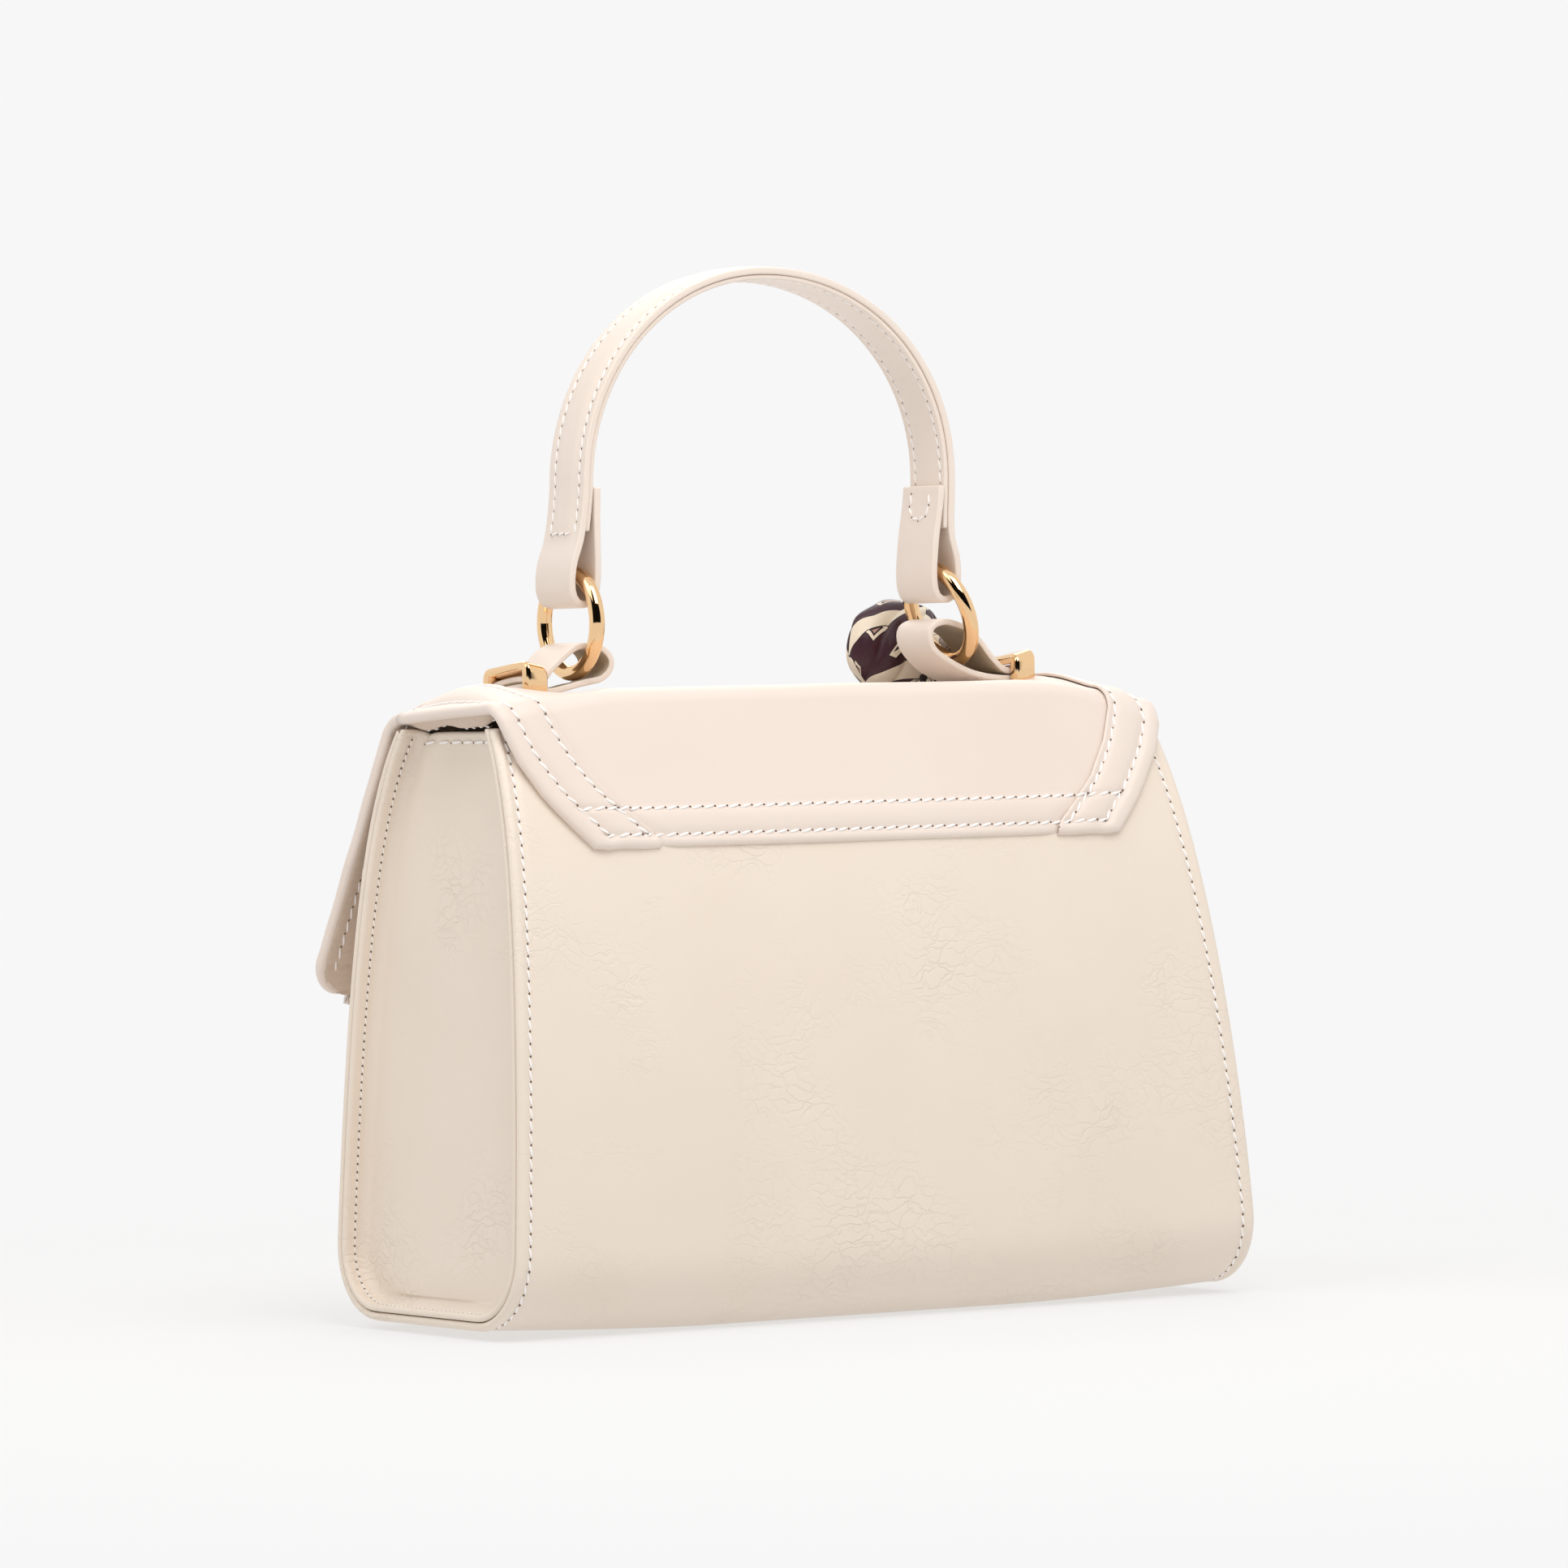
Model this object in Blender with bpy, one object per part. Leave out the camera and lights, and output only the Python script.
"""A small top-handle flap bag with rings, strap bridges and a scarf tied at one handle base.

The bag stands on its base with +Z up. X runs along the bag's width, -Y is the front, where the
flap hangs, and +Y is the back. The origin lies on the base, below the middle of the body.
Right means +X and left means -X. Sizes are in metres.
"""
import math
from functools import lru_cache

import bmesh
import bpy
from mathutils import Vector

MM = 0.001

# Clearance between two pieces that lie on each other
GAP = 0.3 * MM

# Body
BODY_HEIGHT = 166.8 * MM
HALF_WIDTH_BOTTOM = 125.0 * MM
HALF_WIDTH_TOP = 111.0 * MM
SIDE_BOW = 1.3 * MM
BACK_REACH = 48.0 * MM
BACK_LEAN = 22.3 * MM
BACK_SHOULDER = 8.4 * MM
FRONT_REACH = 51.0 * MM
FRONT_LEAN = 9.0 * MM
FRONT_SHOULDER = 7.6 * MM
CORNER_RADIUS = 22.0 * MM
BASE_FLAT_HALF = 52.0 * MM
BASE_RISE = 2.8 * MM
WRAP_THICKNESS = 1.8 * MM

# Gussets, set in like trays between the lips
LIP_WIDTH = 7.5 * MM
GUSSET_THICKNESS = 1.6 * MM
GUSSET_CORNER = 3.0 * MM

# Pieces inside the body
BOARD_THICKNESS = 1.2 * MM
BOARD_MARGIN = 2.0 * MM
LINING_THICKNESS = 0.8 * MM
FACING_HEIGHT = 24.0 * MM
FACING_THICKNESS = 1.0 * MM
RIM_DROP = 1.0 * MM
POCKET_HALF_WIDTH = 62.0 * MM
POCKET_TOP = BODY_HEIGHT - 44.8 * MM
POCKET_BOTTOM = POCKET_TOP - 64.0 * MM
POCKET_THICKNESS = 0.8 * MM

# Flap: its outermost surface, at the ends and in the middle of the bag
FLAP_HALF_WIDTH = 111.5 * MM
TAIL_BOTTOM = BODY_HEIGHT - 33.3 * MM
TAIL_HALF_BOTTOM = 87.5 * MM
TAIL_STRAIGHT_TOP = BODY_HEIGHT - 16.8 * MM
BACK_FOLD_Y = 20.5 * MM
BACK_FOLD_Z = BODY_HEIGHT + 7.4 * MM
BACK_FOLD_RADIUS = 8.0 * MM
FRONT_FOLD_Y = -39.3 * MM
FRONT_FOLD_Z = BODY_HEIGHT + 3.9 * MM
FRONT_FOLD_RADIUS = 6.0 * MM
CROWN_BACK = 5.2 * MM
CROWN_FRONT = 2.6 * MM
CROWN_FLAT_HALF = 66.0 * MM
END_RISE_FOLD = 4.2 * MM
END_RISE_TOP = 3.6 * MM
END_RISE_OUTER = 15.0 * MM
END_RISE_INNER = 72.0 * MM
END_RISE_RAMP = 20.0 * MM
FRONT_BOTTOM_Y = -72.6 * MM
FRONT_BOTTOM_Z = BODY_HEIGHT - 75.8 * MM
FRONT_HALF_BOTTOM = 120.5 * MM
FRONT_CORNER_RADIUS = 13.0 * MM
SHELL_THICKNESS = 1.2 * MM
BAND_THICKNESS = 1.0 * MM
FLAP_LINING_THICKNESS = 0.6 * MM
BAND_WIDTH = 17.0 * MM
BAND_HEIGHT = 13.0 * MM
FOLD_SLIT = 1.0 * MM

# Magnetic snap under the flap
SNAP_HEIGHT_ON_BODY = FRONT_BOTTOM_Z + 16.0 * MM
SNAP_RADIUS = 9.0 * MM
SOCKET_HEIGHT = 4.2 * MM
STUD_HEIGHT = 2.2 * MM
STUD_RADIUS = 4.6 * MM
STUD_NOSE = 1.0 * MM
SOCKET_MOUTH = 5.0 * MM

# Rings. The straps' loops are drawn in steps of a millimetre at a ring of the drawn radius
RING_RADIUS = 14.1 * MM
RING_WIRE = 2.2 * MM
RING_RADIUS_DRAWN = 14.1
HANDLE_Y = -18.0 * MM
RIGHT_RING_Z = FRONT_FOLD_Z + 25.2 * MM
LEFT_RING_Z = FRONT_FOLD_Z + 26.3 * MM
LEFT_RING_LEAN = math.radians(19.0)

# Handle
HANDLE_WIDTH = 19.0 * MM
HANDLE_STRAP = 1.8 * MM
HANDLE_STRIP = 1.4 * MM
STRIP_WIDTH = 18.0 * MM
ARCH_RADIUS = 62.3 * MM
RIGHT_RING_X = ARCH_RADIUS + 0.3 * MM
LEFT_RING_X = -ARCH_RADIUS - 0.7 * MM
ARCH_X = 0.8 * MM
ARCH_Z = RIGHT_RING_Z + 37.9 * MM
STRIP_END_Z = ARCH_Z - 12.3 * MM
LEFT_BULGE_LEG = 1.1 * MM
LEFT_BULGE_ARCH = 1.9 * MM
LOOP_SPREAD = ARCH_RADIUS - 1.2 * MM
LOOP_HALF_WIDTH = 4.3 * MM
LOOP_BOTTOM = RIGHT_RING_Z + 4.9 * MM
LOOP_SWAY = 1.6 * MM
ARCH_START = 16.0 * MM

# Ring straps and bridges on the flap's top
STRAP_WIDTH = 17.0 * MM
STRAP_THICKNESS = 1.8 * MM
STRAP_END = 2.4 * MM
STRAP_COLUMNS = 3
LEVEL_FROM = 7.0 * MM
LEVEL_TO = 13.0 * MM
RIGHT_BRIDGE_X = RIGHT_RING_X + 18.6 * MM
LEFT_BRIDGE_X = LEFT_RING_X - 21.2 * MM
BRIDGE_WIDTH = 7.2 * MM
BRIDGE_BAR = 2.8 * MM
BRIDGE_LEG = 3.6 * MM
BRIDGE_CORNER = 2.2 * MM

# Scarf
KNOT_X = LEFT_RING_X - 15.0 * MM
KNOT_Y = FRONT_FOLD_Y + 0.8 * MM
KNOT_Z = FRONT_FOLD_Z + 14.9 * MM
KNOT_HALF_WIDTH = 10.0 * MM
KNOT_HALF_DEPTH = 7.6 * MM
KNOT_HALF_HEIGHT = 10.4 * MM
KNOT_SHEAR = Vector((0.0, -0.35))
LOBE_X = LEFT_RING_X - 3.0 * MM
LOBE_Y = FRONT_FOLD_Y - 4.7 * MM
LOBE_Z = FRONT_FOLD_Z + 17.9 * MM
LOBE_HALF_WIDTH = 18.0 * MM
LOBE_HALF_DEPTH = 7.4 * MM
LOBE_HALF_HEIGHT = 13.2 * MM
LOBE_SHEAR = Vector((-0.35, -0.1))
LOBE_PLEATS = 7
LOBE_PLEAT_DEPTH = 0.06
SCARF_TAIL_THICKNESS = 2.0 * MM
SCARF_TAIL_WIDTH = 24.0 * MM
SCARF_TAIL_TOP = 8.0 * MM
LONG_TAIL = 58.0 * MM
SHORT_TAIL = 44.0 * MM
LONG_TAIL_X = LEFT_RING_X - 11.0 * MM
SHORT_TAIL_X = LEFT_RING_X + 16.0 * MM
SHORT_TAIL_SLANT = 0.18

# Colours, as linear values
CREAM = (0.83, 0.72, 0.61)
FLAP_CREAM = (0.88, 0.79, 0.69)
MICROFIBRE = (0.62, 0.53, 0.47)
TWILL = (0.55, 0.47, 0.38)
BOARD_GREY = (0.45, 0.42, 0.38)
GOLD = (0.83, 0.58, 0.31)
STEEL = (0.60, 0.60, 0.62)
PLUM = (0.035, 0.010, 0.020)


def clear_scene():
    for item in list(bpy.data.objects):
        bpy.data.objects.remove(item, do_unlink=True)


def make_material(name, colour, roughness, metallic=0.0):
    material = bpy.data.materials.new(name)
    material.use_nodes = True
    shader = material.node_tree.nodes["Principled BSDF"]
    shader.inputs["Base Color"].default_value = (*colour, 1.0)
    shader.inputs["Roughness"].default_value = roughness
    shader.inputs["Metallic"].default_value = metallic
    return material


def add_object(name, bm, colour, roughness=0.5, metallic=0.0, parent=None):
    """Turn a bmesh into the named object, with a material of its own."""
    mesh = bpy.data.meshes.new(name)
    bm.to_mesh(mesh)
    bm.free()
    item = bpy.data.objects.new(name, mesh)
    bpy.context.scene.collection.objects.link(item)
    mesh.materials.append(make_material(name, colour, roughness, metallic))
    mesh.shade_smooth()
    mesh.set_sharp_from_angle(angle=math.radians(40))
    if parent is not None:
        hang_on(item, parent)
    return item


def add_pivot(name, position):
    """An empty on a joint's axis, which the moving pieces hang from."""
    pivot = bpy.data.objects.new(name, None)
    bpy.context.scene.collection.objects.link(pivot)
    pivot.location = position
    bpy.context.view_layer.update()
    return pivot


def thicken(item, thickness, offset=-1.0):
    """Give an open sheet its thickness on the side away from its faces' normals."""
    modifier = item.modifiers.new("Thickness", "SOLIDIFY")
    modifier.thickness = thickness
    modifier.offset = offset
    modifier.use_even_offset = True
    modifier.use_quality_normals = True


def round_edges(item, width, segments=2, angle=35.0):
    modifier = item.modifiers.new("Rounded edges", "BEVEL")
    modifier.width = width
    modifier.segments = segments
    modifier.limit_method = "ANGLE"
    modifier.angle_limit = math.radians(angle)


def smooth_step(value):
    value = min(1.0, max(0.0, value))
    return value * value * (3.0 - 2.0 * value)


def mix(first, second, share):
    return first + (second - first) * share


def grid_sheet(rows):
    """A bmesh sheet from equal rows of points; normals follow row direction x column direction."""
    bm = bmesh.new()
    verts = [[bm.verts.new(point) for point in row] for row in rows]
    for upper, lower in zip(verts, verts[1:]):
        for i in range(len(upper) - 1):
            bm.faces.new((upper[i], lower[i], lower[i + 1], upper[i + 1]))
    return bm


def offset_line(points, distance, level_ends=False):
    """Move a 2-D line sideways, to the left of its direction. With level_ends, the ends keep
    their height and slide along the moved line instead."""
    moved = []
    count = len(points)
    for i in range(count):
        before = points[max(i - 1, 0)]
        after = points[min(i + 1, count - 1)]
        here = points[i]
        sides = []
        if i > 0:
            sides.append((here - before).normalized())
        if i < count - 1:
            sides.append((after - here).normalized())
        normals = [Vector((-side.y, side.x)) for side in sides]
        if len(normals) == 2:
            shift = (normals[0] + normals[1]) / (1.0 + normals[0].dot(normals[1]))
        else:
            shift = normals[0]
            if level_ends and abs(sides[0].y) > 1e-6:
                shift = shift - sides[0] * (shift.y / sides[0].y)
        moved.append(here + shift * distance)
    return moved


def smooth_line(controls, steps):
    """A Catmull-Rom curve through 2-D control points, with a number of steps between each two."""
    padded = [controls[0] * 2 - controls[1], *controls, controls[-1] * 2 - controls[-2]]
    line = []
    for a, b, c, d in zip(padded, padded[1:], padded[2:], padded[3:]):
        for k in range(steps):
            t = k / steps
            line.append(0.5 * (2 * b + (c - a) * t + (2 * a - 5 * b + 4 * c - d) * t ** 2
                               + (3 * b - a - 3 * c + d) * t ** 3))
    line.append(controls[-1].copy())
    return line


def hang_on(item, parent):
    """Make a placed object follow a pivot without moving it."""
    bpy.context.view_layer.update()
    item.parent = parent
    item.matrix_parent_inverse = parent.matrix_world.inverted()


def ribbon(name, line, width, thickness, colour, parent, on_flap=False):
    """A strap: a line in the XZ plane, drawn out across its width and thickened both ways. On the
    flap, its width follows the flap's top."""
    bm = bmesh.new()
    verts = [bm.verts.new((point.x, -width / 2, point.y)) for point in line]
    edges = [bm.edges.new(pair) for pair in zip(verts, verts[1:])]
    for step in range(STRAP_COLUMNS if on_flap else 1):
        drawn = bmesh.ops.extrude_edge_only(bm, edges=edges)
        new_verts = [item for item in drawn["geom"] if isinstance(item, bmesh.types.BMVert)]
        edges = [item for item in drawn["geom"] if isinstance(item, bmesh.types.BMEdge)
                 and all(vert in new_verts for vert in item.verts)]
        shift = width / (STRAP_COLUMNS if on_flap else 1)
        bmesh.ops.translate(bm, verts=new_verts, vec=(0, shift, 0))
    if on_flap:
        follow_top(bm, 0.0)
    item = add_object(name, bm, colour, 0.45)
    thicken(item, thickness, offset=0.0)
    item.location = (0.0, HANDLE_Y, 0.0)
    hang_on(item, parent)


# Shape of the body

def half_width(z):
    """Half of the body's width at a height, at the edge of the seam lips."""
    k = z / BODY_HEIGHT
    return mix(HALF_WIDTH_BOTTOM, HALF_WIDTH_TOP, k) + SIDE_BOW * 4 * k * (1 - k)


def corner_inset(z):
    if z >= CORNER_RADIUS:
        return 0.0
    return CORNER_RADIUS - math.sqrt(CORNER_RADIUS ** 2 - (CORNER_RADIUS - z) ** 2)


def back_y(z):
    k = z / BODY_HEIGHT
    return BACK_REACH - BACK_LEAN * k ** 2 - BACK_SHOULDER * k ** 8 - corner_inset(z)


def front_y(z):
    k = z / BODY_HEIGHT
    return -(FRONT_REACH - FRONT_LEAN * k ** 4 - FRONT_SHOULDER * k ** 10) + corner_inset(z)


def base_lift(x, z):
    """The base is flat in the middle and rises a little towards the end seams."""
    ramp = max(0.0, (abs(x) - BASE_FLAT_HALF) / (HALF_WIDTH_BOTTOM - BASE_FLAT_HALF))
    return BASE_RISE * ramp ** 1.5 * (1.0 - z / BODY_HEIGHT)


CORNER_STEPS = 5
WALL_STEPS = 9


def body_levels():
    """Heights at which the walls are drawn: fine round the bottom corner, then even."""
    levels = [CORNER_RADIUS * (1 - math.cos(math.radians(90 * i / CORNER_STEPS)))
              for i in range(CORNER_STEPS + 1)]
    for i in range(1, WALL_STEPS + 1):
        levels.append(mix(CORNER_RADIUS, BODY_HEIGHT, i / WALL_STEPS))
    return levels


def wall_lines(depth):
    """Front wall, base and back wall, a depth inside the outer face, as (y, z) lists from the base
    up and, for the base, from front to back."""
    levels = body_levels()
    front = [Vector((front_y(z), z)) for z in levels]
    back = [Vector((back_y(z), z)) for z in levels]
    base_steps = 4
    base = [front[0].lerp(back[0], i / base_steps) for i in range(1, base_steps)]
    outline = list(reversed(front)) + base + back
    moved = offset_line(outline, depth, level_ends=True)
    count = len(levels)
    return (list(reversed(moved[:count])), moved[count:count + base_steps - 1], moved[-count:])


def on_body(x, point):
    """A 3-D point of the body from its place along X and its (y, z) point."""
    return Vector((x, point.x, point.y + base_lift(x, max(point.y, 0.0))))


def across(half, shares):
    return [share * half for share in shares]


def mirrored(shares):
    return [-share for share in reversed(shares) if share > 0] + list(shares)


WRAP_SHARES = mirrored((0.0, 0.24, 0.45, 0.63, 0.78, 0.9, 1.0))


def outline_sheet(depth, half_at, first=0, last=None):
    """The U outline of the body at a depth, or a stretch of it, drawn across the bag."""
    front, base, back = wall_lines(depth)
    outline = list(reversed(front)) + base + back
    outline = outline[first:last]
    return grid_sheet([[on_body(x, point) for x in across(half_at(point.y), WRAP_SHARES)]
                       for point in outline])


def make_wrap():
    bm = outline_sheet(0.0, half_width)
    item = add_object("body_wrap", bm, CREAM, 0.5)
    thicken(item, WRAP_THICKNESS)


def gusset_plane(z):
    """Distance from the middle to the inner face of the gusset's panel, at a height."""
    return half_width(z) - LIP_WIDTH - GUSSET_THICKNESS


def make_gusset(name, side):
    """A tray: a lip flange against the wrap, a rounded corner and the panel."""
    depth = WRAP_THICKNESS + GAP
    corner_steps = 3
    strips = [("flange", 0.0, 1.0), ("flange", 0.0, 0.5)]
    for i in range(corner_steps + 1):
        angle = math.radians(90 * i / corner_steps)
        strips.append(("corner", GUSSET_CORNER * (1 - math.cos(angle)), GUSSET_CORNER * (1 - math.sin(angle))))
    bm = bmesh.new()
    loops = []
    for kind, inward, outward in strips:
        front, base, back = wall_lines(depth + inward)
        outline = list(reversed(front)) + base + back
        loop = []
        for point in outline:
            plane = gusset_plane(point.y)
            if kind == "flange":
                reach = mix(plane + GUSSET_CORNER, half_width(point.y) - GAP, outward)
            else:
                reach = plane + outward
            loop.append(bm.verts.new(on_body(side * reach, point)))
        loops.append(loop)
    for outer, inner in zip(loops, loops[1:]):
        for i in range(len(outer) - 1):
            bm.faces.new((outer[i], outer[i + 1], inner[i + 1], inner[i]))
    fill_panel(bm, loops[-1], side)
    bmesh.ops.recalc_face_normals(bm, faces=bm.faces[:])
    item = add_object(name, bm, CREAM, 0.5)
    thicken(item, GUSSET_THICKNESS)


def fill_panel(bm, rim, side):
    """Fill an end panel between its front and back borders with level rows."""
    count = len(body_levels())
    front = list(reversed(rim[:count]))
    back = rim[-count:]
    bottom = [front[0], *rim[count:-count], back[0]]
    steps = len(bottom) - 1
    row = bottom
    for level in range(1, count):
        left = front[level]
        right = back[level]
        new_row = [left]
        for i in range(1, steps):
            place = left.co.lerp(right.co, i / steps)
            new_row.append(bm.verts.new(place))
        new_row.append(right)
        for i in range(steps):
            bm.faces.new((row[i], row[i + 1], new_row[i + 1], new_row[i]))
        row = new_row


def cut_below(bm, height):
    """Cut a sheet level and keep what lies below the height."""
    geometry = bm.verts[:] + bm.edges[:] + bm.faces[:]
    bmesh.ops.bisect_plane(bm, geom=geometry, plane_co=(0, 0, height), plane_no=(0, 0, 1),
                           clear_outer=True)


def cut_above(bm, height):
    """Cut a sheet level and keep what lies above the height."""
    geometry = bm.verts[:] + bm.edges[:] + bm.faces[:]
    bmesh.ops.bisect_plane(bm, geom=geometry, plane_co=(0, 0, height), plane_no=(0, 0, 1),
                           clear_inner=True)


def lining_depth():
    return WRAP_THICKNESS + GAP + BOARD_THICKNESS + GAP


def lining_tray():
    """The open tray that the lining and its facing are cut from."""
    depth = lining_depth()
    front, base, back = wall_lines(depth)
    outline = list(reversed(front)) + base + back
    bm = bmesh.new()
    rows = []
    for point in outline:
        half = gusset_plane(point.y) - GAP
        rows.append([bm.verts.new(on_body(x, point)) for x in across(half, WRAP_SHARES)])
    for upper, lower in zip(rows, rows[1:]):
        for i in range(len(upper) - 1):
            bm.faces.new((upper[i], lower[i], lower[i + 1], upper[i + 1]))
    fill_panel(bm, [row[0] for row in rows], -1)
    fill_panel(bm, [row[-1] for row in rows], 1)
    bmesh.ops.recalc_face_normals(bm, faces=bm.faces[:])
    return bm


def make_lining():
    seam = BODY_HEIGHT - FACING_HEIGHT
    bm = lining_tray()
    cut_below(bm, seam - GAP)
    item = add_object("body_lining", bm, TWILL, 0.9)
    thicken(item, LINING_THICKNESS)
    bm = lining_tray()
    cut_above(bm, seam)
    cut_below(bm, BODY_HEIGHT - RIM_DROP)
    item = add_object("mouth_facing", bm, CREAM, 0.5)
    thicken(item, FACING_THICKNESS)


def make_boards():
    """Stiffening boards between the wrap and the lining: front, base and back."""
    depth = WRAP_THICKNESS + GAP

    def half_at(z):
        return gusset_plane(z) - BOARD_MARGIN

    count = len(body_levels())
    total = len(wall_lines(depth)[1]) + 2 * count
    stretches = {
        "front_board": (0, count - CORNER_STEPS),
        "base_board": (count - 1, total - count + 1),
        "back_board": (total - count + CORNER_STEPS, total),
    }
    for name, (first, last) in stretches.items():
        bm = outline_sheet(depth, half_at, first, last)
        cut_below(bm, BODY_HEIGHT - RIM_DROP)
        item = add_object(name, bm, BOARD_GREY, 0.9)
        thicken(item, BOARD_THICKNESS)


def make_pocket():
    """A slip pocket on the back of the lining, sewn down on three sides."""
    depth = lining_depth() + LINING_THICKNESS + GAP
    back = wall_lines(depth)[2]
    bm = grid_sheet([[on_body(x, point) for x in across(POCKET_HALF_WIDTH, (-1.0, -0.5, 0.0, 0.5, 1.0))]
                     for point in back])
    cut_above(bm, POCKET_BOTTOM)
    cut_below(bm, POCKET_TOP)
    item = add_object("slip_pocket", bm, TWILL, 0.9)
    thicken(item, POCKET_THICKNESS)


# Shape of the flap

def crown_at(x):
    """1 over the middle of the flap and 0 at its ends."""
    return 1.0 - smooth_step((abs(x) - CROWN_FLAT_HALF) / (FLAP_HALF_WIDTH - CROWN_FLAT_HALF))


def end_rise_at(x):
    """1 along the inner border of each side band, where the flap bulges up, and 0 at the flap's
    edges and in its middle."""
    outer = smooth_step((FLAP_HALF_WIDTH - abs(x)) / END_RISE_OUTER)
    return outer * smooth_step((abs(x) - END_RISE_INNER) / END_RISE_RAMP)


def flap_controls(x):
    """Corners of the flap's outermost line at a place along the bag."""
    stack = SHELL_THICKNESS + GAP + BAND_THICKNESS
    steps = 4
    heights = [mix(TAIL_BOTTOM, TAIL_STRAIGHT_TOP, i / steps) for i in range(steps + 1)]
    wall = [Vector((back_y(z), z)) for z in heights]
    tail = offset_line(wall, -(stack + GAP), level_ends=True)
    tail = [Vector((point.x, point.y + base_lift(x, point.y))) for point in tail]
    crown = crown_at(x)
    lean = (tail[-1].x - BACK_FOLD_Y) / (BACK_FOLD_Z - tail[-1].y)
    back_fold = Vector((BACK_FOLD_Y - lean * CROWN_BACK * crown, BACK_FOLD_Z + CROWN_BACK * crown))
    flare = (FRONT_FOLD_Y - FRONT_BOTTOM_Y) / (FRONT_FOLD_Z - FRONT_BOTTOM_Z)
    lift = CROWN_FRONT * crown + END_RISE_FOLD * end_rise_at(x)
    front_fold = Vector((FRONT_FOLD_Y + flare * lift, FRONT_FOLD_Z + lift))
    bottom = Vector((FRONT_BOTTOM_Y, FRONT_BOTTOM_Z))
    return tail, back_fold, front_fold, bottom


def fillet(before, corner, after, radius, steps):
    """Points of the arc that rounds a corner."""
    towards = (before - corner).normalized()
    away = (after - corner).normalized()
    half = towards.angle(away) / 2
    reach = radius / math.tan(half)
    centre = corner + (towards + away).normalized() * (radius / math.sin(half))
    start = corner + towards * reach - centre
    turn = math.pi - 2 * half
    sign = 1.0 if start.x * (corner - centre).y - start.y * (corner - centre).x > 0 else -1.0
    points = []
    for i in range(steps + 1):
        angle = sign * turn * i / steps
        rotated = Vector((start.x * math.cos(angle) - start.y * math.sin(angle),
                          start.x * math.sin(angle) + start.y * math.cos(angle)))
        points.append(centre + rotated)
    return points


ARC_STEPS = 8
TAIL_STEPS = 4
TOP_STEPS = 7
FRONT_STEPS = 8
BACK_SPLIT = TAIL_STEPS + 1 + ARC_STEPS / 2
FRONT_SPLIT = BACK_SPLIT + ARC_STEPS / 2 + TOP_STEPS + ARC_STEPS / 2
FLAP_END = FRONT_SPLIT + ARC_STEPS / 2 + FRONT_STEPS


def flap_line(x, depth):
    """The flap's line at a place along the bag and a depth below its outermost surface, from the
    tail's bottom edge over the top to the front's bottom edge, as (y, z) points."""
    tail, back_fold, front_fold, bottom = flap_controls(x)
    line = list(tail)
    line += fillet(tail[-1], back_fold, front_fold, BACK_FOLD_RADIUS, ARC_STEPS)
    front_arc = fillet(back_fold, front_fold, bottom, FRONT_FOLD_RADIUS, ARC_STEPS)
    start = line[-1]
    bulge = END_RISE_TOP * end_rise_at(x)
    for i in range(1, TOP_STEPS):
        share = i / TOP_STEPS
        line.append(start.lerp(front_arc[0], share) + Vector((0.0, bulge * math.sin(math.pi * share ** 1.15))))
    line += front_arc
    start = line[-1]
    line += [start.lerp(bottom, i / FRONT_STEPS) for i in range(1, FRONT_STEPS + 1)]
    return offset_line(line, depth)


def on_line(line, place):
    """A point of a line at a place given as a number of steps from its start."""
    index = min(int(place), len(line) - 2)
    return line[index].lerp(line[index + 1], place - index)


def flap_half_width(place):
    """Half of the flap's width at a place along its line."""
    if place <= BACK_SPLIT:
        return mix(TAIL_HALF_BOTTOM, FLAP_HALF_WIDTH, min(1.0, tail_height(place) / tail_height(BACK_SPLIT)))
    if place <= FRONT_SPLIT:
        return FLAP_HALF_WIDTH
    share = (place - FRONT_SPLIT) / (FLAP_END - FRONT_SPLIT)
    return mix(FLAP_HALF_WIDTH, FRONT_HALF_BOTTOM, share)


def tail_height(place):
    line = flap_line(FLAP_HALF_WIDTH, 0.0)
    return on_line(line, place).y - line[0].y


def front_drop():
    """Length of the flap's front from its fold to its bottom edge."""
    line = flap_line(FLAP_HALF_WIDTH, 0.0)
    return (line[-1] - on_line(line, FRONT_SPLIT + ARC_STEPS / 2)).length


def front_place(distance):
    """The place on the flap's line that lies a distance above the front's bottom edge."""
    return FLAP_END - FRONT_STEPS * distance / front_drop()


def rounded_inset(place, radius):
    """How far a rounded bottom corner draws the front's edge in, at a place."""
    distance = (FLAP_END - place) / FRONT_STEPS * front_drop()
    if distance >= radius:
        return 0.0
    return radius - math.sqrt(max(0.0, radius ** 2 - (radius - distance) ** 2))


MIDDLE_SHARES = (0.0, 0.35, 0.65, 0.76, 0.86, 0.94)
BAND_SHARES = (0.0, 0.25, 0.5, 0.75, 1.0)


def flap_columns(place, half):
    """Places along X at which the flap is drawn: the middle field, then the side bands."""
    inner = flap_half_width(place) - band_width_at(place)
    right = [inner * share for share in MIDDLE_SHARES]
    right += [mix(inner, half, share) for share in BAND_SHARES]
    return [-x for x in reversed(right[1:])] + right


def flap_sheet(places, depth, half_at):
    """A sheet that follows the flap's line, with its half width given for each place."""
    return grid_sheet([[flap_point(x, place, depth) for x in flap_columns(place, half_at(place))]
                       for place in places])


def flap_point(x, place, depth):
    point = on_line(flap_line(x, depth), place)
    return Vector((x, point.x, point.y))


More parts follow.
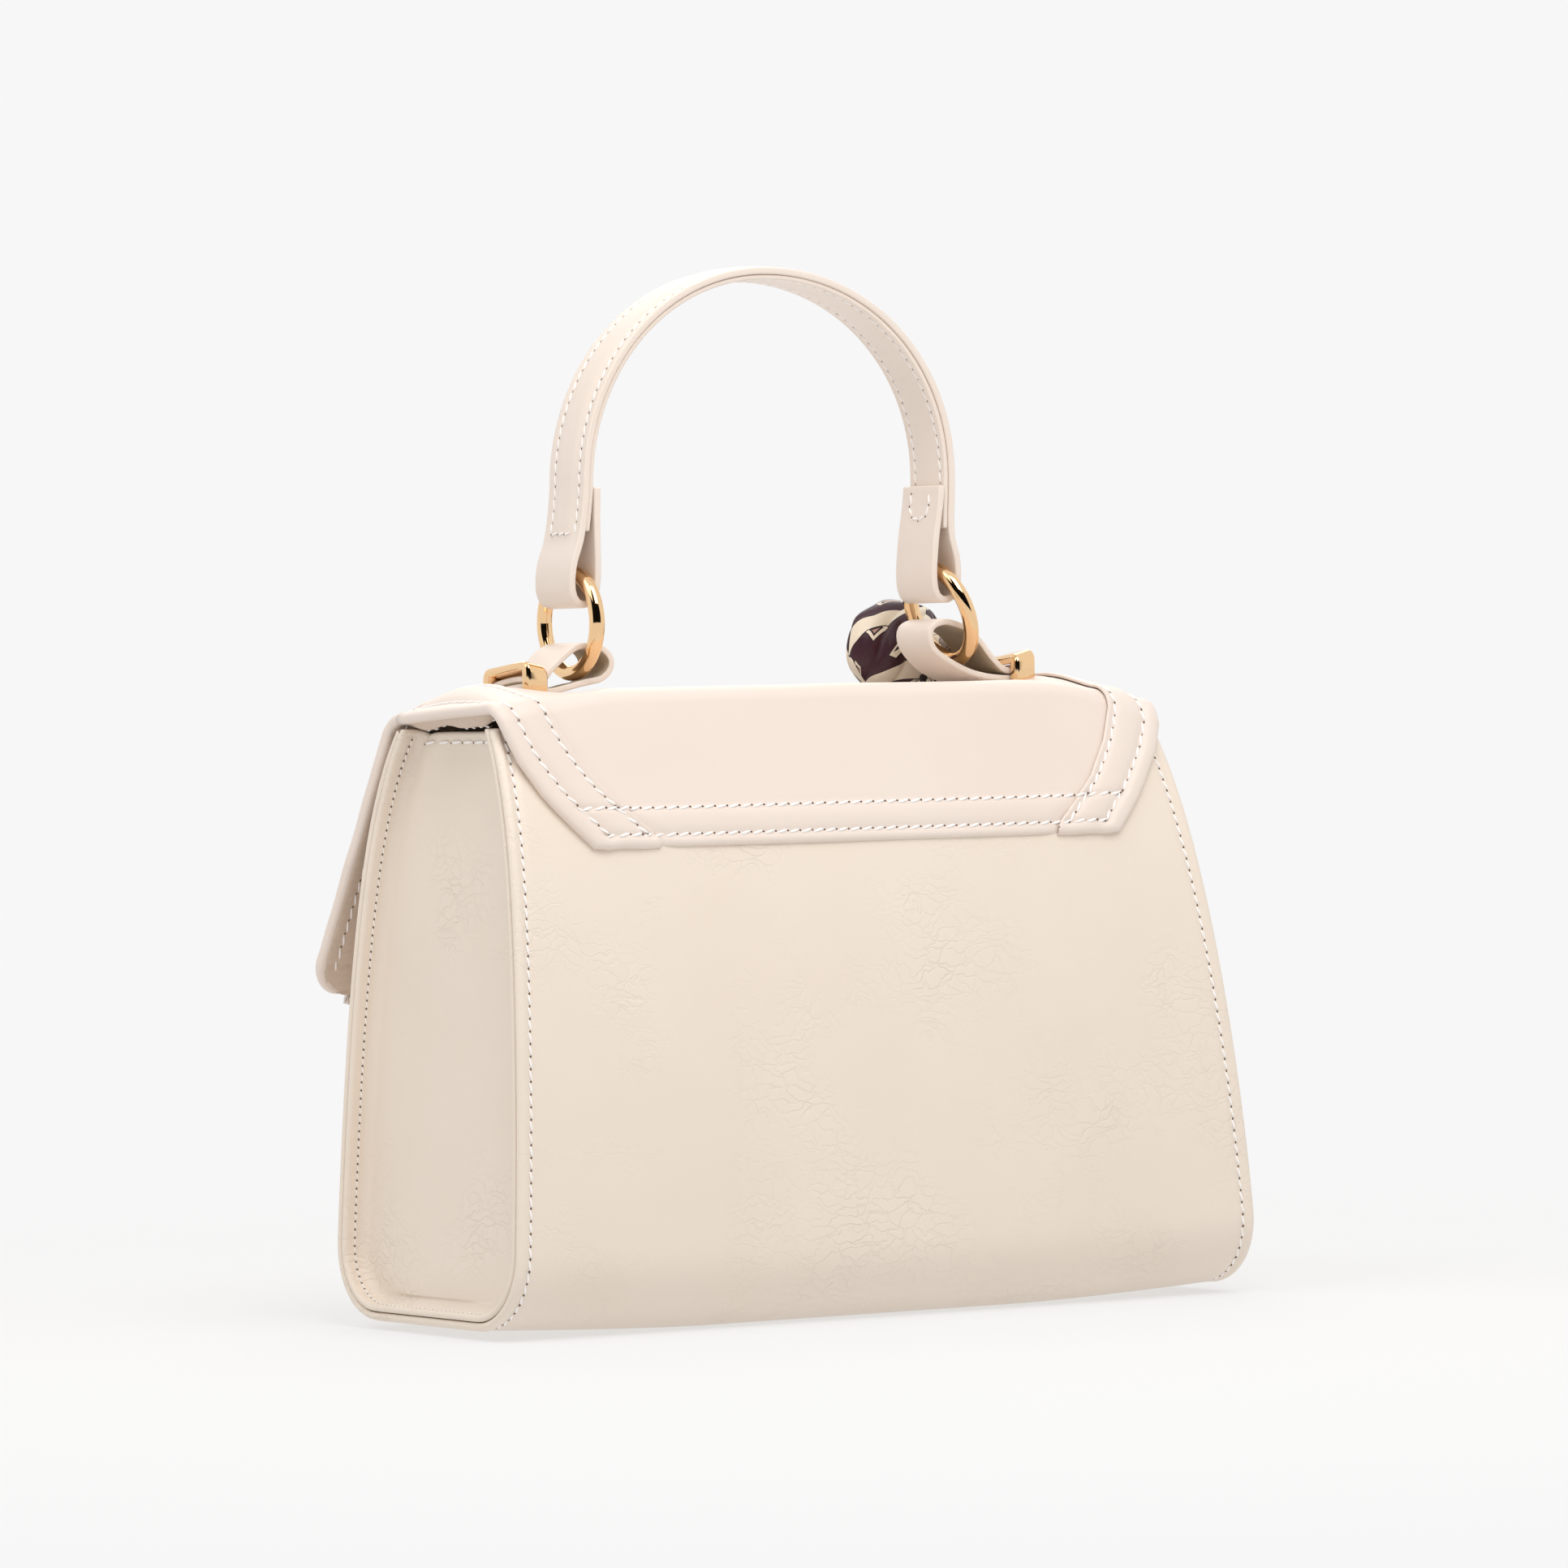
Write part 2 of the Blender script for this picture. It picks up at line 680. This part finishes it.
def slit_places(first, last, open_first, open_last):
    """Whole places between two, moved off a fold's middle by half of its slit."""
    step = BACK_FOLD_RADIUS * math.radians(75) / ARC_STEPS
    shift = FOLD_SLIT / 2 / step
    start = first + (shift if open_first else 0.0)
    end = last - (shift if open_last else 0.0)
    inner = [place for place in range(int(first), int(last) + 2) if start + 0.2 < place < end - 0.2]
    return [start, *inner, end]


def front_places():
    """Places on the front piece, close together round its bottom corners."""
    places = slit_places(FRONT_SPLIT, FLAP_END, True, False)
    limit = front_place(FRONT_CORNER_RADIUS)
    kept = [place for place in places if place < limit - 0.1]
    arc_steps = 5
    for i in range(arc_steps + 1):
        angle = math.radians(90 * i / arc_steps)
        kept.append(front_place(FRONT_CORNER_RADIUS * (1 - math.sin(angle))))
    return kept


def front_half(place):
    return flap_half_width(place) - rounded_inset(place, FRONT_CORNER_RADIUS)


def make_shells(top_pivot, front_pivot):
    """The flap's main leather, one piece on each side of its two folds."""
    depth = BAND_THICKNESS + GAP
    parts = (
        ("flap_tail", slit_places(0, BACK_SPLIT, False, True), flap_half_width, None),
        ("flap_top", slit_places(BACK_SPLIT, FRONT_SPLIT, True, True), flap_half_width, top_pivot),
        ("flap_front", front_places(), front_half, front_pivot),
    )
    for name, places, half_at, pivot in parts:
        bm = flap_sheet(places, depth, half_at)
        item = add_object(name, bm, FLAP_CREAM, 0.45, parent=pivot)
        thicken(item, SHELL_THICKNESS)


def make_flap_linings(top_pivot, front_pivot):
    depth = BAND_THICKNESS + GAP + SHELL_THICKNESS + GAP
    margin = 0.8 * MM
    bm = flap_sheet(slit_places(BACK_SPLIT, FRONT_SPLIT, True, True), depth,
                    lambda place: flap_half_width(place) - margin)
    item = add_object("flap_top_lining", bm, MICROFIBRE, 0.95, parent=top_pivot)
    thicken(item, FLAP_LINING_THICKNESS)
    bm = flap_sheet(front_places(), depth, lambda place: front_half(place) - margin)
    item = add_object("flap_front_lining", bm, MICROFIBRE, 0.95, parent=front_pivot)
    thicken(item, FLAP_LINING_THICKNESS)


def band_width_at(place):
    """The side band is as wide across its edge everywhere, so wider along X where that slants."""
    if place > BACK_SPLIT:
        return BAND_WIDTH
    run = FLAP_HALF_WIDTH - TAIL_HALF_BOTTOM
    rise = tail_height(BACK_SPLIT)
    slant = math.hypot(run, rise) / rise
    blend = smooth_step((tail_height(place) / rise - 0.6) / 0.4)
    return BAND_WIDTH * mix(slant, 1.0, blend)


def side_band(name, places, half_at, side, parent):
    rows = []
    for place in places:
        outer = half_at(place)
        inner = flap_half_width(place) - band_width_at(place)
        xs = [side * mix(inner, outer, share) for share in BAND_SHARES]
        if side < 0:
            xs.reverse()
        rows.append([flap_point(x, place, 0.0) for x in xs])
    item = add_object(name, grid_sheet(rows), FLAP_CREAM, 0.45, parent=parent)
    thicken(item, BAND_THICKNESS)


def bottom_band(name, places, parent):
    rows = []
    for place in places:
        half = flap_half_width(place) - band_width_at(place) - GAP
        rows.append([flap_point(x, place, 0.0) for x in across(half, mirrored((*MIDDLE_SHARES, 1.0)))])
    item = add_object(name, grid_sheet(rows), FLAP_CREAM, 0.45, parent=parent)
    thicken(item, BAND_THICKNESS)


def tail_place(distance):
    """The place on the tail that lies a distance above its bottom edge."""
    line = flap_line(0.0, 0.0)
    length = 0.0
    for i in range(TAIL_STEPS + 1):
        step = (line[i + 1] - line[i]).length
        if length + step >= distance:
            return i + (distance - length) / step
        length += step
    return float(TAIL_STEPS)


def make_bands(top_pivot, front_pivot):
    for label, side in (("right", 1), ("left", -1)):
        side_band(f"tail_band_{label}", slit_places(0, BACK_SPLIT, False, True), flap_half_width, side, None)
        side_band(f"top_band_{label}", slit_places(BACK_SPLIT, FRONT_SPLIT, True, True),
                  flap_half_width, side, top_pivot)
        side_band(f"front_band_{label}", front_places(), front_half, side, front_pivot)
    height = tail_place(BAND_HEIGHT)
    bottom_band("tail_band_bottom", [0.0, height / 3, 2 * height / 3, height], None)
    top = front_place(BAND_HEIGHT)
    bottom_band("front_band_bottom", [mix(top, FLAP_END, i / 3) for i in range(4)], front_pivot)


# Snap

def disc_on(name, centre, normal, radius, height, colour, parent, bore=0.0, nose=0.0):
    """A round snap half that stands on a face along its normal."""
    bm = bmesh.new()
    segments = 24
    profile = [(0.0, 0.0), (radius, 0.0), (radius, height * 0.7), (radius - 0.8 * MM, height)]
    if bore > 0.0:
        profile += [(bore, height), (bore, height - 1.6 * MM), (0.0, height - 1.6 * MM)]
    else:
        profile += [(STUD_RADIUS, height), (STUD_RADIUS, height + nose * 0.7),
                    (STUD_RADIUS - 0.5 * MM, height + nose), (0.0, height + nose)]
    verts = [bm.verts.new((reach, 0.0, up)) for reach, up in profile]
    edges = [bm.edges.new(pair) for pair in zip(verts, verts[1:])]
    bmesh.ops.spin(bm, geom=verts + edges, axis=(0, 0, 1), cent=(0, 0, 0), steps=segments,
                   angle=2 * math.pi, use_duplicate=False)
    bmesh.ops.remove_doubles(bm, verts=bm.verts[:], dist=1e-6)
    bmesh.ops.recalc_face_normals(bm, faces=bm.faces[:])
    item = add_object(name, bm, colour, 0.3, 1.0)
    item.rotation_euler = normal.to_track_quat("Z", "Y").to_euler()
    item.location = centre
    if parent is not None:
        hang_on(item, parent)


def make_snap(front_pivot):
    """Magnetic snap: socket on the body's front, stud on the flap's lining."""
    z = SNAP_HEIGHT_ON_BODY
    step = 1.0 * MM
    slope = (front_y(z + step) - front_y(z - step)) / (2 * step)
    normal = Vector((0.0, -1.0, slope)).normalized()
    seat = Vector((0.0, front_y(z), z)) + normal * GAP
    disc_on("snap_socket", seat, normal, SNAP_RADIUS, SOCKET_HEIGHT, GOLD, None, bore=SOCKET_MOUTH)
    depth = BAND_THICKNESS + GAP + SHELL_THICKNESS + GAP + FLAP_LINING_THICKNESS + GAP
    line = flap_line(0.0, depth)
    down = (line[-1] - line[-2]).normalized()
    inward = Vector((-down.y, down.x))
    pivot = front_pivot.location
    reach = (seat - pivot).length - GAP
    place = line[-1] - down * ((line[-1] - Vector((pivot.y, pivot.z))).length - reach)
    centre = Vector((0.0, place.x, place.y))
    disc_on("snap_stud", centre, Vector((0.0, inward.x, inward.y)), SNAP_RADIUS, STUD_HEIGHT, GOLD,
            front_pivot, nose=STUD_NOSE)


# Rings, straps and bridges

def make_ring(name, centre, lean, parent):
    """A round-wire ring in the plane across the bag, leaning about its lowest point."""
    bpy.ops.mesh.primitive_torus_add(major_radius=RING_RADIUS, minor_radius=RING_WIRE,
                                     major_segments=32, minor_segments=12)
    item = bpy.context.active_object
    item.name = name
    item.data.name = name
    item.rotation_euler = (0.0, math.radians(90) + lean, 0.0)
    item.location = centre
    item.data.materials.append(make_material(name, GOLD, 0.12, 1.0))
    item.data.shade_smooth()
    hang_on(item, parent)


@lru_cache(maxsize=None)
def shell_line(x):
    """The main leather's upper face on the flap's top, as (y, z) points from back to front."""
    return flap_line(x, BAND_THICKNESS + GAP)[TAIL_STEPS + ARC_STEPS:-FRONT_STEPS - ARC_STEPS]


def shell_height(x, y):
    """Height of the flap's main leather at a place on its top, between the columns it is drawn at."""
    columns = flap_columns(BACK_SPLIT + TOP_STEPS, FLAP_HALF_WIDTH)
    after = next(i for i, column in enumerate(columns) if column >= x)
    heights = []
    for column in columns[after - 1:after + 1]:
        line = shell_line(column)
        i = next(i for i, point in enumerate(line) if point.x <= y)
        heights.append(mix(line[i].y, line[i - 1].y, (y - line[i].x) / (line[i - 1].x - line[i].x)))
    share = (x - columns[after - 1]) / (columns[after] - columns[after - 1])
    return mix(heights[0], heights[1], share)


def follow_top(bm, x):
    """Raise a mesh that is drawn level across the bag so that it follows the flap's top. What
    stands well above the top stays level."""
    for vert in bm.verts:
        here = x + vert.co.x
        middle = shell_height(here, HANDLE_Y)
        above = vert.co.z - (middle if x == 0.0 else 0.0)
        share = 1.0 - smooth_step((above - LEVEL_FROM) / (LEVEL_TO - LEVEL_FROM))
        vert.co.z += share * (shell_height(here, HANDLE_Y + vert.co.y) - middle)
        if x != 0.0:
            vert.co.z += middle - shell_height(x, HANDLE_Y)


def strap_line(side, loop):
    """A ring strap's line: its lower layer runs in from its sewn end and under the bridge, the
    loop's own points follow, and the upper layer comes back the same way."""
    lower = GAP + STRAP_THICKNESS / 2
    upper = lower + STRAP_THICKNESS + GAP
    bridge_x = RIGHT_BRIDGE_X if side > 0 else LEFT_BRIDGE_X
    end = bridge_x + side * STRAP_END
    inner = bridge_x - side * STRAP_END
    points = [Vector((x, shell_height(x, HANDLE_Y) + lower)) for x in (end, bridge_x, inner)]
    points += [Vector(point) for point in loop]
    points += [Vector((x, shell_height(x, HANDLE_Y) + upper)) for x in (inner, bridge_x, end)]
    return points


def right_loop():
    """Round the lowest point of the upright ring: nearly flat below, then folded back over it."""
    seat = RIGHT_RING_Z - RING_RADIUS - RING_WIRE - GAP - STRAP_THICKNESS / 2
    x = RIGHT_RING_X
    unit = RING_RADIUS / RING_RADIUS_DRAWN
    return [(x + 10.5 * unit, seat - 2.2 * unit), (x, seat), (x - 4.6 * unit, seat + 0.8 * unit),
            (x - 7.7 * unit, seat + 3.4 * unit), (x - 7.9 * unit, seat + 7.4 * unit),
            (x - 4.8 * unit, seat + 10.4 * unit), (x, seat + 11.0 * unit), (x + 3.6 * unit, seat + 10.4 * unit),
            (x + 7.4 * unit, seat + 8.0 * unit), (x + 11.5 * unit, seat + 4.0 * unit),
            (x + 14.6 * unit, seat + 0.6 * unit)]


def left_loop():
    """Round the lowest point of the leaning ring: it stands up towards the handle."""
    x = LEFT_RING_X - RING_RADIUS * math.sin(LEFT_RING_LEAN)
    z = LEFT_RING_Z - RING_RADIUS * math.cos(LEFT_RING_LEAN)
    z -= RING_WIRE + GAP + STRAP_THICKNESS / 2
    unit = RING_RADIUS / RING_RADIUS_DRAWN
    return [(x - 9.7 * unit, z - 2.9 * unit), (x - 4.4 * unit, z - 2.3 * unit), (x + 1.4 * unit, z - 0.7 * unit),
            (x + 8.0 * unit, z + 2.6 * unit), (x + 13.0 * unit, z + 7.2 * unit), (x + 13.4 * unit, z + 12.2 * unit),
            (x + 9.4 * unit, z + 14.2 * unit), (x + 4.6 * unit, z + 13.5 * unit), (x, z + 11.5 * unit),
            (x - 4.2 * unit, z + 7.7 * unit), (x - 8.0 * unit, z + 2.6 * unit), (x - 11.2 * unit, z - 0.2 * unit)]


def make_ring_straps(pivot):
    for label, side, loop in (("right", 1, right_loop()), ("left", -1, left_loop())):
        line = smooth_line(strap_line(side, loop), 3)
        ribbon(f"ring_strap_{label}", line, STRAP_WIDTH, STRAP_THICKNESS, FLAP_CREAM, pivot, on_flap=True)


def make_bridges(pivot):
    """Square bar bent over each strap, with its feet on the flap's leather."""
    clear = GAP + 2 * (STRAP_THICKNESS + GAP) + 0.9 * MM
    half = STRAP_WIDTH / 2 + GAP
    for label, x in (("right", RIGHT_BRIDGE_X), ("left", LEFT_BRIDGE_X)):
        outer = half + BRIDGE_LEG
        height = clear + BRIDGE_BAR
        outline = [(-outer, GAP), (-outer, height), (outer, height), (outer, GAP),
                   (half, GAP), (half, clear), (-half, clear), (-half, GAP)]
        bm = bmesh.new()
        verts = [bm.verts.new((-BRIDGE_WIDTH / 2, y, z)) for y, z in outline]
        face = bm.faces.new(verts)
        drawn = bmesh.ops.extrude_face_region(bm, geom=[face])
        moved = [item for item in drawn["geom"] if isinstance(item, bmesh.types.BMVert)]
        bmesh.ops.translate(bm, verts=moved, vec=(BRIDGE_WIDTH, 0, 0))
        bmesh.ops.recalc_face_normals(bm, faces=bm.faces[:])
        shoulders = [edge for edge in bm.edges
                     if all(abs(vert.co.z - height) < 1e-6 for vert in edge.verts)
                     and all(abs(abs(vert.co.y) - outer) < 1e-6 for vert in edge.verts)
                     and abs(edge.verts[0].co.y - edge.verts[1].co.y) < 1e-6]
        bmesh.ops.bevel(bm, geom=shoulders, offset=BRIDGE_CORNER, segments=4, affect="EDGES")
        follow_top(bm, x)
        item = add_object(f"strap_bridge_{label}", bm, GOLD, 0.15, 1.0)
        round_edges(item, 0.35 * MM, segments=1, angle=60.0)
        item.location = (x, HANDLE_Y, shell_height(x, HANDLE_Y))
        hang_on(item, pivot)


# Handle

def sway(z):
    """Both end loops lean the same way below the arch."""
    return LOOP_SWAY * min(1.0, max(0.0, (ARCH_Z - z) / (ARCH_Z - LOOP_BOTTOM)))


def strap_reach():
    return ARCH_RADIUS - HANDLE_STRAP / 2


def end_loop():
    """The line of one end loop, from the tab's top on the inside, round the ring and up outside,
    as distances from the arch's middle and heights."""
    tab = strap_reach() - HANDLE_STRAP - 2 * GAP - HANDLE_STRIP
    reach = LOOP_SPREAD
    half = LOOP_HALF_WIDTH
    low = LOOP_BOTTOM
    strap = strap_reach()
    return [Vector((tab, ARCH_Z)), Vector((tab - 0.1 * MM, ARCH_Z - 9 * MM)),
            Vector((tab - 0.5 * MM, ARCH_Z - 17 * MM)), Vector((reach - half, low + 8.4 * MM)),
            Vector((reach - half + 0.6 * MM, low + 3.2 * MM)), Vector((reach - 2.2 * MM, low + 0.6 * MM)),
            Vector((reach, low)), Vector((reach + 2.2 * MM, low + 0.6 * MM)),
            Vector((reach + half - 0.4 * MM, low + 3.2 * MM)), Vector((reach + half, low + 7.6 * MM)),
            Vector((reach + half - 0.6 * MM, low + 12.4 * MM)), Vector((strap + 1.6 * MM, ARCH_Z - 15 * MM)),
            Vector((strap + 0.5 * MM, ARCH_Z - 7.5 * MM))]


def arch_points(radius, steps):
    return [Vector((radius * math.cos(math.pi * i / steps), ARCH_Z + radius * math.sin(math.pi * i / steps)))
            for i in range(steps + 1)]


def left_bulge(z):
    """The handle's left half stands out a little further than its right half."""
    if z <= LOOP_BOTTOM + ARCH_START:
        return 0.0
    if z <= ARCH_Z:
        return LEFT_BULGE_LEG * smooth_step((z - LOOP_BOTTOM - ARCH_START) / (ARCH_Z - LOOP_BOTTOM - ARCH_START))
    rise = math.asin(min(1.0, (z - ARCH_Z) / ARCH_RADIUS))
    return LEFT_BULGE_LEG * math.cos(rise) + LEFT_BULGE_ARCH * math.sin(2 * rise)


def placed(point, side=1.0):
    """From a distance and a height on the handle to its place in the XZ plane."""
    x = ARCH_X + side * point.x + sway(point.y)
    if side * point.x < 0:
        x -= left_bulge(point.y) * min(1.0, abs(point.x) / LOOP_HALF_WIDTH)
    return Vector((x, point.y))


def make_handle(pivot):
    loop = smooth_line(end_loop() + [Vector((strap_reach(), ARCH_Z))], 3)
    right = [placed(point) for point in loop]
    left = [placed(point, -1.0) for point in reversed(loop)]
    arch = [placed(point) for point in arch_points(strap_reach(), 36)]
    line = right[:-1] + arch + left[1:]
    ribbon("handle_strap", line, HANDLE_WIDTH, HANDLE_STRAP, FLAP_CREAM, pivot)
    inner = strap_reach() - (HANDLE_STRAP + HANDLE_STRIP) / 2 - GAP
    shift = strap_reach() - inner
    legs = smooth_line(end_loop()[-3:] + [Vector((strap_reach(), ARCH_Z))], 3)
    legs = [Vector((point.x - shift, point.y)) for point in legs if point.y >= STRIP_END_Z]
    legs = [Vector((legs[0].x, STRIP_END_Z)), *legs]
    arch = [placed(point) for point in arch_points(inner, 36)]
    right = [placed(point) for point in legs]
    left = [placed(point, -1.0) for point in reversed(legs)]
    line = right[:-1] + arch + left[1:]
    ribbon("handle_strip", line, STRIP_WIDTH, HANDLE_STRIP, FLAP_CREAM, pivot)


# Scarf

def scarf_ball(name, centre, radii, shear, pleats, depth, parent):
    """A puffed fold of cloth, with pleats that run down from its top."""
    bm = bmesh.new()
    bmesh.ops.create_uvsphere(bm, u_segments=28, v_segments=14, radius=1.0)
    for vert in bm.verts:
        turn = math.atan2(vert.co.y, vert.co.x)
        swell = 1.0
        if pleats:
            swell = 1.0 - depth * (1 + math.cos(pleats * turn + 3 * vert.co.z)) * (1 - vert.co.z ** 2)
        place = Vector((vert.co.x * radii.x * swell, vert.co.y * radii.y * swell, vert.co.z * radii.z))
        place.x += shear.x * place.z
        place.y += shear.y * place.z
        vert.co = place
    item = add_object(name, bm, PLUM, 0.4)
    item.location = centre
    hang_on(item, parent)
    return item


def make_scarf(top_pivot, front_pivot):
    centre = Vector((KNOT_X, KNOT_Y, KNOT_Z))
    radii = Vector((KNOT_HALF_WIDTH, KNOT_HALF_DEPTH, KNOT_HALF_HEIGHT))
    scarf_ball("scarf_knot", centre, radii, KNOT_SHEAR, 5, 0.04, top_pivot)
    grown = radii + Vector((GAP, GAP, GAP)) * 2
    cutter = scarf_ball("knot_space", centre, grown, KNOT_SHEAR, 0, 0.0, top_pivot)
    cutter.hide_render = True
    cutter.display_type = "WIRE"
    centre = Vector((LOBE_X, LOBE_Y, LOBE_Z))
    radii = Vector((LOBE_HALF_WIDTH, LOBE_HALF_DEPTH, LOBE_HALF_HEIGHT))
    lobe = scarf_ball("scarf_lobe", centre, radii, LOBE_SHEAR, LOBE_PLEATS, LOBE_PLEAT_DEPTH, top_pivot)
    cut = lobe.modifiers.new("Knot space", "BOOLEAN")
    cut.operation = "DIFFERENCE"
    cut.solver = "EXACT"
    cut.object = cutter
    for name, length, x, slant in (("scarf_tail_long", LONG_TAIL, LONG_TAIL_X, 0.0),
                                   ("scarf_tail_short", SHORT_TAIL, SHORT_TAIL_X, SHORT_TAIL_SLANT)):
        make_scarf_tail(name, length, x, slant, front_pivot)


def make_scarf_tail(name, length, x, slant, parent):
    """A scarf end that hangs down the flap's front, with two soft waves across its width."""
    steps = 8
    first = front_place(front_drop() - SCARF_TAIL_TOP)
    last = front_place(front_drop() - SCARF_TAIL_TOP - length)
    rows = []
    for i in range(steps + 1):
        share = i / steps
        place = mix(first, last, share)
        width = SCARF_TAIL_WIDTH * mix(0.55, 1.0, smooth_step(share * 1.6))
        row = []
        for j in range(9):
            across_share = j / 8 - 0.5
            wave = 0.9 * MM * (1 + math.cos(4 * math.pi * across_share)) * mix(0.0, 1.0, share)
            depth = BAND_THICKNESS - SCARF_TAIL_THICKNESS - wave
            row.append(flap_point(x + across_share * width + slant * share * length, place, depth))
        rows.append(row)
    item = add_object(name, grid_sheet(rows), PLUM, 0.4, parent=parent)
    thicken(item, SCARF_TAIL_THICKNESS)


def fold_pivot(place):
    point = on_line(flap_line(0.0, 0.0), place)
    return Vector((0.0, point.x, point.y))


def build():
    clear_scene()
    make_wrap()
    make_gusset("gusset_right", 1)
    make_gusset("gusset_left", -1)
    make_boards()
    make_lining()
    make_pocket()
    top_pivot = add_pivot("back_fold_axis", fold_pivot(BACK_SPLIT))
    front_pivot = add_pivot("front_fold_axis", fold_pivot(FRONT_SPLIT))
    axis_z = (RIGHT_RING_Z + LEFT_RING_Z) / 2
    handle_pivot = add_pivot("handle_axis", Vector((0.0, HANDLE_Y, axis_z)))
    make_shells(top_pivot, front_pivot)
    make_flap_linings(top_pivot, front_pivot)
    make_bands(top_pivot, front_pivot)
    make_snap(front_pivot)
    make_ring("ring_right", Vector((RIGHT_RING_X, HANDLE_Y, RIGHT_RING_Z)), 0.0, handle_pivot)
    make_ring("ring_left", Vector((LEFT_RING_X, HANDLE_Y, LEFT_RING_Z)), LEFT_RING_LEAN, handle_pivot)
    make_ring_straps(top_pivot)
    make_bridges(top_pivot)
    make_handle(handle_pivot)
    make_scarf(top_pivot, front_pivot)
    for pivot in (top_pivot, front_pivot, handle_pivot):
        print(pivot.name, [round(value * 1000, 3) for value in pivot.location])


build()
